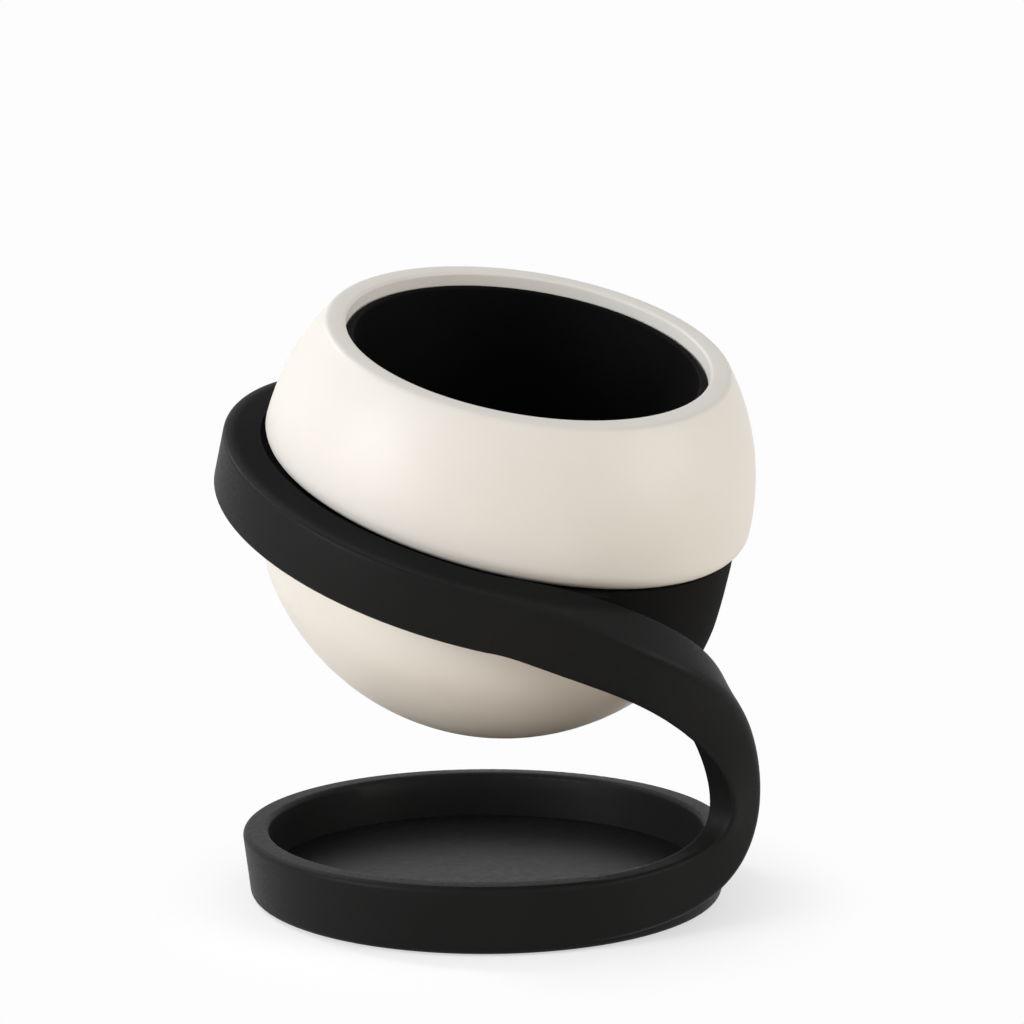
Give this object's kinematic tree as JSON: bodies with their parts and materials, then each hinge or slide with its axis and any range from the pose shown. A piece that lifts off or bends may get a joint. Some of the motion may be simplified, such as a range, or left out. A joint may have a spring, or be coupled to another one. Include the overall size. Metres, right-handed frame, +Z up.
{
  "type": "swivelling pen pot",
  "caption": "Ball-shaped pen pot that swivels in a tilted ribbon belt, whose arm curls down into a round catch-all tray.",
  "frame": {"origin": "centre of the tray on the surface that the stand rests on", "axes": "+Z up; the swivel axis leans towards -Y; +X to the right when the pot leans towards the viewer"},
  "size_m": [0.1096, 0.1166, 0.1306],
  "materials": {
    "stand_black": "satin",
    "mat_black": "matte",
    "pad_rubber": "matte",
    "steel": "satin",
    "glide_black": "matte",
    "shell_cream": "soft matte",
    "liner_black": "matte"
  },
  "bodies": {
    "stand": {"stand_frame": "stand_black", "tray_mat": "mat_black", "ballast_disc": "steel", "ballast_screws": "steel", "base_pad": "pad_rubber", "glide_ring": "glide_black"},
    "pot": {"upper_shell": "shell_cream", "swivel_collar": "glide_black", "collar_screws": "steel", "lower_bowl": "shell_cream", "drag_ring": "pad_rubber", "catch_ring": "steel", "pen_liner": "liner_black", "liner_screw": "steel"}
  },
  "joints": [
    {"name": "pot_swivel", "type": "hinge", "parent": "stand", "child": "pot", "pos_m": [0, -0.007, 0.0876], "axis": [0, -0.3592, 0.9333], "continuous": true}
  ]
}
